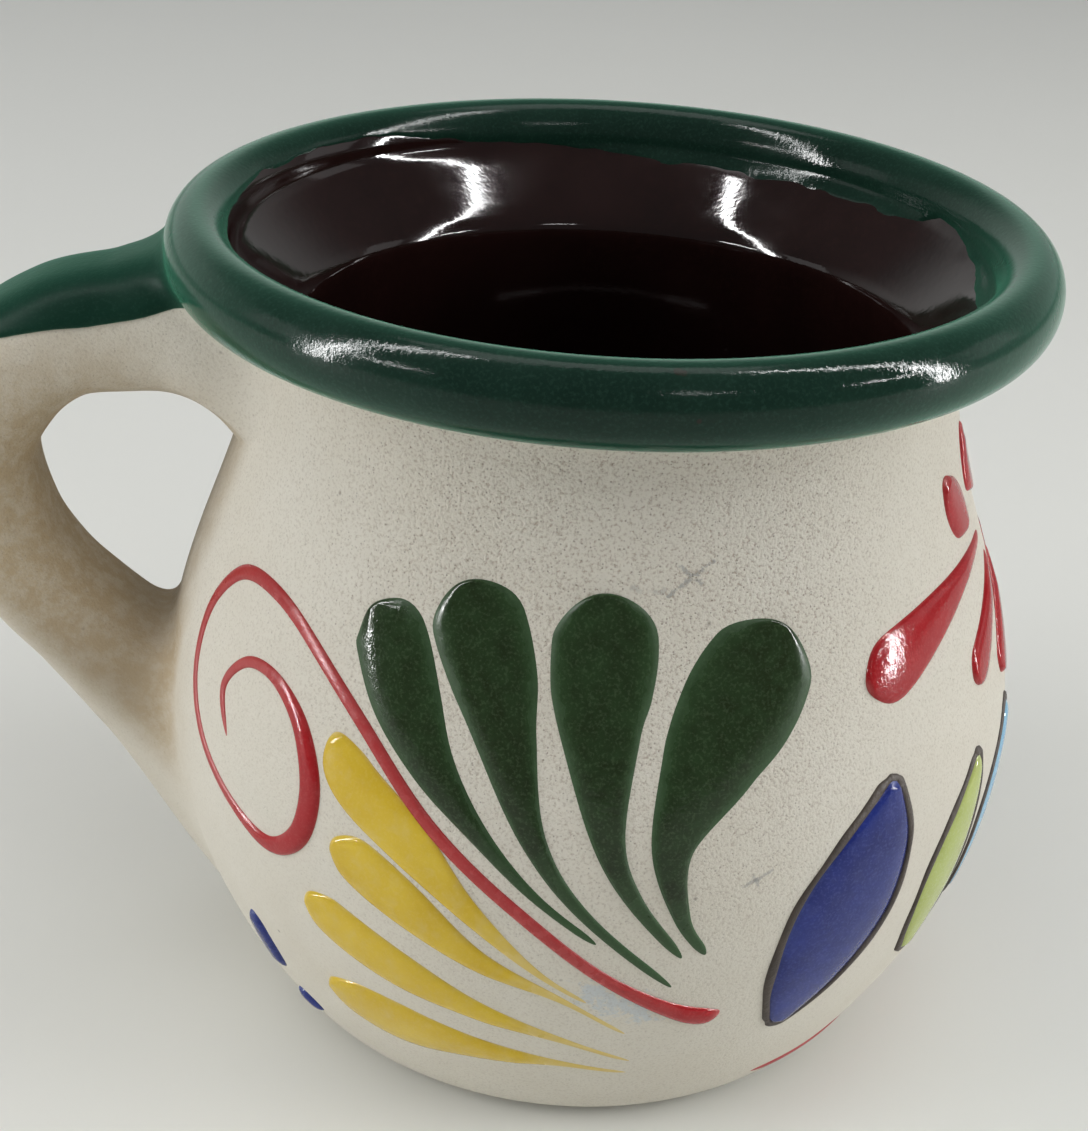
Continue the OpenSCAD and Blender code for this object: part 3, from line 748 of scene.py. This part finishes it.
raggedEdge = glaze["ragged"] * waveSum(glaze["raggedWaves"], turns)
innerEdge = reading(glaze["innerEdge"], np.degrees(turns)) + raggedEdge
lipAngles = np.linspace(glaze["outerEnd"], 180, glaze["lipRows"])
mouthWall = column(innerRadius, np.linspace(lipZ, glaze["mouthLow"], glaze["mouthRows"]), coat=0)
mouth = np.vstack([lipPoint(lipAngles, 0), mouthWall[1:]])
lowEdge = glaze["lowEdge"] + glaze["lowRagged"] * waveSum(glaze["lowWaves"], turns)
pastTop = np.arange(len(mouth)) > np.searchsorted(lipAngles, glaze["pastTop"])
fromIn = np.where(pastTop[:, None], (mouth[:, 1, None] - innerEdge[None]) * glaze["wallSlope"], 1)
coat = glaze["thickness"] * np.minimum(roundEdge(runAlong(mouth)[:, None] - lowEdge[None], glaze["edge"]),
                                       roundEdge(fromIn, glaze["innerEdgeWidth"]))
addPiece("rimGlaze", *coatShell(mouth, coat, glaze["under"]), greenGlaze, "green_glaze", ["rim_glaze"])

linerLine = np.vstack([lipPoint(np.linspace(glaze["linerFrom"], 180, glaze["linerLipRows"]), 0),
                       innerLine(lipZ, 0, glaze["linerRows"])[1:]])
lap = (innerEdge[None] + glaze["linerLap"] - linerLine[:, 1, None]) / glaze["linerFade"]
coat = glaze["liner"] * np.clip(lap, glaze["linerLeast"], 1)
addPiece("linerGlaze", *coatCup(linerLine, coat, glaze["linerUnder"]), brownGlaze, "brown_glaze",
         ["liner_glaze"])

thumb = {
    # distance from the axis and height of the coat's edge along the handle
    "line": [(0.04, 0.0815), (0.0434, 0.0809), (0.0469, 0.0798), (0.0506, 0.0788), (0.0557, 0.0778),
             (0.0605, 0.0768)],
    "waver": 0.0001, "waverCount": 700, "edge": 0.0013, "seat": 0.00002, "under": 0.0003,
    "tipFrom": 0.0585, "tipLength": 0.01, "tipRows": 18, "tipLeast": 0.03, "across": 45, "levelRow": 60,
}


def thumbLine(x):
    return reading(thumb["line"], -x) + thumb["waver"] * np.sin(x * thumb["waverCount"])


def edgeColumn(row, step):
    # place, in columns from the top, where a row of the strap goes under the line
    at = 0
    over = row[0, 2] - thumbLine(row[0, 0])
    while abs(at) < strap["around"] // 2:
        p = row[(at + step) % strap["around"]]
        nextOver = p[2] - thumbLine(p[0])
        if nextOver < 0:
            return at + step * over / (over - nextOver)
        at, over = at + step, nextOver
    return at


def thumbShell():
    # rings across the top of the strap, each with a rounded upper face and a sunk lower face
    around = np.roll(handlePoints, -1, 1) - np.roll(handlePoints, 1, 1)
    outward = unit(np.cross(around, np.gradient(handlePoints, axis=0)))
    outward *= np.sign(outward[thumb["levelRow"], 0, 2])  # the first column runs along the top
    run = runAlong(handlePoints[:, 0])
    last = int(np.argmax(-handlePoints[:, 0, 0] > thumb["tipFrom"]))
    bend = np.linspace(0, np.pi / 2, thumb["tipRows"])[1:]  # rounded tongue at the far end
    ways = np.concatenate([run[1:last], run[last - 1] + thumb["tipLength"] * np.sin(bend)])
    narrows = np.concatenate([np.ones(last - 1), np.maximum(np.cos(bend), thumb["tipLeast"])])
    spread = (1 - np.cos(np.linspace(0, np.pi, thumb["across"]))) / 2
    rings = []
    for way, narrow in zip(ways, narrows):
        at = np.interp(way, run, np.arange(len(run)))
        i = int(at)
        row, out = (mix(g[i], g[i + 1], at - i) for g in (handlePoints, outward))
        if narrow == 1:
            left, right = edgeColumn(row, -1), edgeColumn(row, 1)
        spot = mix(left, right, spread) * narrow
        k = np.floor(spot).astype(int)
        here, there = k % strap["around"], (k + 1) % strap["around"]
        p, n = (mix(g[here], g[there], (spot - k)[:, None]) for g in (row, out))
        side = runAlong(p)
        inside = np.minimum(side, side[-1] - side)
        coat = glaze["thickness"] * roundEdge(inside, thumb["edge"]) - thumb["seat"]
        rings.append(np.vstack([p + n * coat[:, None], (p - n * thumb["under"])[::-1]]))
    return np.stack(rings)


grid = thumbShell()
addPiece("thumbRestGlaze", grid.reshape(-1, 3), tubeFaces(*grid.shape[:2]), thumbGlaze, "green_glaze",
         ["thumb_rest_glaze"])
print("glazes laid")


# Enamel strokes

motif = {
    "start": -162, "sweep": 100, "middle": 1.62,  # shares of a turn, from the handle to the front
    "height": 0.0006, "fullWidth": 0.0024, "sink": 0.0003, "seat": 0.00005, "leastReach": 0.00003,
    "flat": 3.0, "round": 0.65, "under": 0.96, "steps": 10, "endRows": 14, "cols": 13,
}


def roundEnd(u, share):
    return np.where(u >= share, 1, np.sqrt(np.clip(1 - (1 - np.clip(u / share, 0, 1)) ** 2, 0, 1)))


def onWall(turn, z, over):
    lean = wallLean(z)
    r = wallAt(turn, z) + over * np.cos(lean)
    return np.stack([r * np.cos(turn), r * np.sin(turn), z - over * np.sin(lean)], -1)


def strokeRows(form, shares):
    # middle line, heading and half width of one stroke
    count, (head, tail) = len(shares) - 1, form["ends"]
    end = np.linspace(0, 1, motif["endRows"]) ** 2
    u = np.concatenate([head * end,
                        np.linspace(head, 1 - tail, count * form.get("steps", motif["steps"]))[1:-1],
                        1 - tail * end[::-1]])
    line = smoothLine(shares, u * count)
    turn = np.radians(motif["start"] + line[:, 0] * motif["sweep"])
    z = line[:, 1] * pot["height"]
    lean = wallLean(z)
    heading = unit(np.stack([wallRadius(z) * np.gradient(turn), np.gradient(z) / np.cos(lean)], -1))
    reach = line[:, 2] * form["width"] / 2 * roundEnd(u, head) * roundEnd(1 - u, tail)
    return turn, z, lean, heading, np.maximum(reach, motif["leastReach"])


def strokeMesh(form, shares, side):
    # closed domed ribbon on the wall, with its height share and its thickness share
    cols = form.get("cols", motif["cols"])
    turn, z, lean, heading, reach = strokeRows(form, shares)
    crown = form.get("height", motif["height"]) * np.minimum(1, 2 * reach / motif["fullWidth"])
    x = np.sin(np.linspace(-1, 1, cols) * np.pi / 2)
    dome = np.clip(1 - np.abs(x) ** motif["flat"], 0, 1) ** form.get("round", motif["round"])
    x = np.concatenate([x, [motif["under"], -motif["under"]]])
    dome = np.concatenate([dome, [0, 0]])
    over = crown[:, None] * dome[None] - motif["seat"]
    over[:, cols:] = -motif["sink"]
    w = x[None] * reach[:, None]
    t = turn[:, None] - w * heading[:, 1, None] / wallRadius(z)[:, None]
    h = z[:, None] + w * (heading[:, 0] * np.cos(lean))[:, None]
    grid = onWall(t * side, h, over)
    body = np.clip(crown / motif["height"], 0, 1)
    marks = {"crown": np.tile(dome, len(z)), "body": np.repeat(body, len(dome))}
    return grid.reshape(-1, 3), tubeFaces(*grid.shape[:2], side > 0), marks


def layEnamel(node, color, *meshes):
    # one piece of one or more strokes of a colour
    points, faces = joinMeshes([mesh[:2] for mesh in meshes])
    marks = {key: np.concatenate([mesh[2][key] for mesh in meshes]) for key in ("crown", "body")}
    addPiece(node + ".enamel", points, faces, enamels[color], color + "_enamel", [node], marks)


strokes = {
    "scroll": {"width": 0.0026, "ends": (0.03, 0.05), "color": "red", "shares": [[
        (0.15, 0.474, 0.3), (0.122, 0.525, 0.4), (0.16, 0.566, 0.45), (0.223, 0.569, 0.55),
        (0.282, 0.537, 0.8), (0.312, 0.478, 1), (0.298, 0.416, 0.95), (0.245, 0.38, 0.75),
        (0.165, 0.4, 0.5), (0.088, 0.446, 0.42), (0.036, 0.511, 0.4), (0.03, 0.583, 0.5),
        (0.08, 0.638, 0.6), (0.157, 0.65, 0.6), (0.25, 0.63, 0.56), (0.37, 0.568, 0.56),
        (0.483, 0.48, 0.56), (0.59, 0.4, 0.56), (0.69, 0.322, 0.56), (0.77, 0.272, 0.75),
        (0.825, 0.248, 1), (0.855, 0.249, 0.8)]]},
    "green_leaf": {"width": 0.012, "ends": (0.16, 0.06), "height": 0.0005, "round": 0.85,
                   "color": "green", "shares": [
        [(0.352, 0.686, 0.5), (0.384, 0.66, 0.66), (0.424, 0.604, 0.62), (0.474, 0.545, 0.39),
         (0.54, 0.484, 0.175), (0.612, 0.42, 0.09), (0.685, 0.366, 0.067)],
        [(0.478, 0.731, 0.62), (0.505, 0.693, 0.77), (0.536, 0.64, 0.7), (0.56, 0.585, 0.49),
         (0.603, 0.488, 0.21), (0.666, 0.406, 0.11), (0.783, 0.3, 0.075)],
        [(0.667, 0.736, 0.66), (0.674, 0.69, 0.82), (0.673, 0.64, 0.79), (0.675, 0.594, 0.61),
         (0.69, 0.494, 0.27), (0.724, 0.425, 0.145), (0.789, 0.344, 0.083)],
        [(0.918, 0.698, 0.64), (0.886, 0.663, 0.94), (0.848, 0.62, 1), (0.808, 0.568, 0.8),
         (0.766, 0.484, 0.35), (0.783, 0.4, 0.14), (0.818, 0.346, 0.083)]]},
    "yellow_leaf": {"width": 0.008, "ends": (0.16, 0.06), "color": "yellow", "shares": [
        [(0.335, 0.548, 0.48), (0.37, 0.508, 0.72), (0.453, 0.458, 0.67), (0.53, 0.392, 0.33),
         (0.615, 0.32, 0.11), (0.68, 0.277, 0.06)],
        [(0.35, 0.43, 0.5), (0.39, 0.412, 0.74), (0.45, 0.38, 0.7), (0.54, 0.326, 0.36),
         (0.645, 0.281, 0.11), (0.735, 0.222, 0.06)],
        [(0.305, 0.34, 0.53), (0.35, 0.315, 0.75), (0.44, 0.278, 0.7), (0.535, 0.245, 0.38),
         (0.645, 0.21, 0.13), (0.75, 0.165, 0.06)],
        [(0.31, 0.205, 0.56), (0.36, 0.186, 0.95), (0.43, 0.174, 1), (0.53, 0.168, 0.55),
         (0.64, 0.16, 0.16), (0.75, 0.138, 0.06)]]},
    "petal": {"width": 0.007, "ends": (0.3, 0.06), "color": "red", "shares": [
        [(1.04, 0.612, 0.8), (1.09, 0.622, 1), (1.2, 0.646, 0.72), (1.32, 0.664, 0.34),
         (1.44, 0.67, 0.12)],
        [(1.275, 0.55, 0.56), (1.31, 0.565, 0.66), (1.385, 0.6, 0.4), (1.47, 0.636, 0.12)],
        [(1.4, 0.51, 0.52), (1.42, 0.533, 0.62), (1.47, 0.582, 0.38), (1.515, 0.626, 0.12)]]},
    "bud": {"width": 0.0075, "ends": (0.4, 0.06), "color": "red", "shares": [
        [(1.372, 0.699, 0.55), (1.347, 0.72, 0.76), (1.322, 0.746, 0.64), (1.297, 0.772, 0.14)],
        [(1.46, 0.715, 0.59), (1.455, 0.735, 0.66), (1.445, 0.77, 0.37), (1.44, 0.8, 0.15)]]},
    "garland_leaf": {"width": 0.013, "ends": (0.05, 0.05), "color": ("blue", "lime", "sky"), "shares": [
        [(0.95, 0.2, 0.12), (0.975, 0.27, 0.7), (1.01, 0.36, 1), (1.045, 0.44, 0.72),
         (1.07, 0.51, 0.1)],
        [(1.19, 0.22, 0.1), (1.2, 0.27, 0.46), (1.22, 0.34, 0.66), (1.245, 0.41, 0.46),
         (1.265, 0.47, 0.08)],
        [(1.36, 0.22, 0.1), (1.37, 0.27, 0.46), (1.385, 0.34, 0.66), (1.405, 0.41, 0.46),
         (1.42, 0.47, 0.08)]]},
}
dashForm = {
    "width": 0.003, "ends": (0.3, 0.3), "shares": [
        [(0.16, 0.235, 0.8), (0.168, 0.195, 1), (0.182, 0.15, 0.8)],
        [(0.178, 0.107, 0.7), (0.196, 0.093, 0.8), (0.216, 0.08, 0.6)]]}
for side, sign in (("near", 1), ("far", -1)):
    for kind, form in strokes.items():
        for i, shares in enumerate(form["shares"]):
            color = form["color"] if isinstance(form["color"], str) else form["color"][i]
            node = f"{side}_{kind}" if kind == "scroll" else f"{side}_{kind}_{i + 1}"
            layEnamel(node, color, strokeMesh(form, shares, sign))
    dashes = [strokeMesh(dashForm, shares, sign) for shares in dashForm["shares"]]
    layEnamel(f"{side}_blue_dashes", "blue", *dashes)

middlePetal = [(0.535, 0.56), (0.56, 0.65), (0.605, 0.4), (0.65, 0.12)]
middleLeaf = [(0.2, 0.12), (0.27, 0.7), (0.36, 1), (0.44, 0.72), (0.51, 0.1)]
petalShares = [(motif["middle"], h, w) for h, w in middlePetal]
leafShares = [(motif["middle"], h, w) for h, w in middleLeaf]
layEnamel("middle_petal", "red", strokeMesh(strokes["petal"], petalShares, 1))
layEnamel("middle_garland_leaf", "blue", strokeMesh(strokes["garland_leaf"], leafShares, 1))
footForm = {"width": 0.0014, "ends": (0.05, 0.05), "steps": 8, "cols": 7, "height": 0.0004,
            "from": 0.99, "rise": 0.062, "points": 13}
footTurns = np.linspace(footForm["from"], 2 * motif["middle"] - footForm["from"], footForm["points"])
footShares = [(t, footForm["rise"], 1) for t in footTurns]
layEnamel("foot_line", "red", strokeMesh(footForm, footShares, 1))
print("strokes laid")


# Dark drawn outlines round the garland leaves

outline = {
    "width": 0.001, "height": 0.00035, "gap": 0.0003, "section": [-1, -0.6, 0, 0.6, 1, 0],
    "waves": [(5, 0.22), (13, 0.12)], "shift": 9,  # count and share of the brush's waves, and their start
}


def outlineMesh(form, shares, side):
    turn, z, lean, heading, reach = strokeRows(form, shares)
    edges = []
    for w in (reach + outline["gap"], -reach - outline["gap"]):
        edges.append(np.stack([turn - w * heading[:, 1] / wallRadius(z),
                               z + w * heading[:, 0] * np.cos(lean)], -1))
    loop = np.vstack([edges[0], edges[1][::-1]])
    step = np.roll(loop, -1, 0) - np.roll(loop, 1, 0)
    step = unit(step * np.stack([wallRadius(loop[:, 1]), np.ones(len(loop))], -1))
    x = np.array(outline["section"])
    lift = outline["height"] * np.sqrt(1 - x ** 2) - motif["seat"]
    lift[-1] = -motif["sink"]
    along = np.linspace(0, 2 * np.pi, len(loop), endpoint=False)
    (slow, slowShare), (fast, fastShare) = outline["waves"]
    waves = [(slow, shares[0][0] * outline["shift"], slowShare), (fast, 0, fastShare)]
    w = x[None] * (outline["width"] / 2 * (1 + waveSum(waves, along)))[:, None]
    t = loop[:, 0, None] - w * step[:, 1, None] / wallRadius(loop[:, 1])[:, None]
    h = loop[:, 1, None] + w * step[:, 0, None]
    grid = onWall(t * side, h, np.broadcast_to(lift[None], t.shape))
    return grid.reshape(-1, 3), gridFaces(*grid.shape[:2], side > 0, loop=True)


garland = strokes["garland_leaf"]
leaves = [(s, sign) for s in garland["shares"] for sign in (1, -1)] + [(leafShares, 1)]
points, faces = joinMeshes([outlineMesh(garland, shares, sign) for shares, sign in leaves])
addPiece("garlandOutlines", points, faces, outlinePaint, "brown_glaze")
print("outlines drawn")


# Camera, floor and light

view = {"location": (-0.02381, -0.19393, 0.15039), "turn": (62.506, -2.742, -4.024), "lens": 63.66,
        "sensor": 36, "clip": (0.01, 50)}
camera = bpy.data.objects.new("camera", bpy.data.cameras.new("camera"))
camera.data.lens, camera.data.sensor_width = view["lens"], view["sensor"]
camera.data.clip_start, camera.data.clip_end = view["clip"]
camera.location = view["location"]
camera.rotation_euler = [math.radians(a) for a in view["turn"]]
scene.collection.objects.link(camera)
scene.camera = camera

ground = {"half": 4, "drop": 0.00005, "base": (0.75, 0.752, 0.712), "cloudy": (0.78, 0.782, 0.742),
          "rough": 0.7}
floorMat, tree, shader = makeMaterial("paleFloor")
feed(tree, shader.inputs, {"Base Color": mottledTone(tree, ground, scale=6, contrast=0.2)[1],
                           "Roughness": ground["rough"]})
mesh = bpy.data.meshes.new("floor")
corners = [(x * ground["half"], y * ground["half"], 0) for x, y in ((-1, -1), (1, -1), (1, 1), (-1, 1))]
mesh.from_pydata(corners, [], [(0, 1, 2, 3)])
mesh.materials.append(floorMat)
floor = bpy.data.objects.new("floor", mesh)
floor.location.z = -ground["drop"]
scene.collection.objects.link(floor)

lampAim = Vector((0, 0, 0.06))
lamps = {
    # first and last point of the sky by azimuth and height, distance, width, power, and what it lights
    "stripRight": ((4, 72), (-14, 30), 0.55, 0.014, 1.5, "gloss"),
    "stripLeft": ((177, 72), (-163, 30), 0.55, 0.014, 1.5, "gloss"),
    "sparkRight": ((-15, 32), (-13, -3), 0.55, 0.024, 2.4, "gloss"),
    "sparkLeft": ((-163, 32), (-166, -3), 0.55, 0.03, 2.7, "gloss"),
    "lineRight": ((-34, 25), (-20, 20), 0.55, 0.006, 0.35, "gloss"),
    "lineLeft": ((-142, 24), (-158, 20), 0.55, 0.006, 0.35, "gloss"),
    "lineFront": ((-80, 36), (-66, 34), 0.55, 0.006, 0.1, "gloss"),
    "ceiling": ((90, 66), (90, 88), 1.1, 0.7, 1.8, "gloss"),
    "sideRight": ((-12, 36), (-12, 2), 0.9, 0.5, 4.0, "body"),
    "sideLeft": ((-170, 36), (-170, 2), 0.9, 0.5, 3.4, "body"),
    "windowRight": ((8, 28), (8, 8), 0.9, 0.3, 0.2, "gloss"),
    "windowLeft": ((178, 28), (178, 8), 0.9, 0.3, 0.25, "gloss"),
    "softTop": ((-90, 42), (90, 72), 1.1, 1.2, 6.0, "body"),
    "softFront": ((-90, 14), (-90, 1), 1.1, 0.9, 0.3, "body"),
}


def skyPoint(azimuth, elevation, distance):
    a, e = math.radians(azimuth), math.radians(elevation)
    way = Vector((math.cos(e) * math.cos(a), math.cos(e) * math.sin(a), math.sin(e)))
    return way * distance + lampAim


def softLamp(name, first, last, distance, width, power, use):
    # flat lamp between two points of the sky, facing the mug, for its gloss or its body
    a, b = skyPoint(*first, distance), skyPoint(*last, distance)
    along = (a - b).normalized()
    back = (a + b) / 2 - lampAim
    back = (back - along * back.dot(along)).normalized()
    data = bpy.data.lights.new(name, "AREA")
    data.shape, data.energy = "RECTANGLE", power
    data.size, data.size_y = width, (a - b).length
    lamp = bpy.data.objects.new(name, data)
    turn = Matrix((along.cross(back), along, back)).transposed()
    lamp.matrix_world = Matrix.Translation((a + b) / 2) @ turn.to_4x4()
    lamp.visible_glossy, lamp.visible_diffuse = use == "gloss", use == "body"
    scene.collection.objects.link(lamp)


for name, values in lamps.items():
    softLamp(name, *values)

room = {"dim": (0.14, 0.145, 0.15), "pale": (0.62, 0.63, 0.62),  # paler low down at the back
        "paleUp": (0.6, 0.3), "paleBack": (0.0, 0.7), "paleFront": (0.5, 0.1, 0.6, 1.0)}
world = bpy.data.worlds.new("paleRoom")
world.use_nodes = True
tree = world.node_tree
backdrop = tree.nodes["Background"]
axes = put(tree, "ShaderNodeSeparateXYZ", {0: put(tree, "ShaderNodeTexCoord")["Generated"]})
lowBack = times(tree, ramp(tree, axes["Z"], *room["paleUp"]), ramp(tree, axes["Y"], *room["paleBack"]),
                ramp(tree, axes["X"], *room["paleFront"]))
feed(tree, backdrop.inputs, {"Color": blendColor(tree, lowBack, room["dim"], room["pale"])})
scene.world = world
scene.view_settings.view_transform = "Standard"
print("camera and light set")
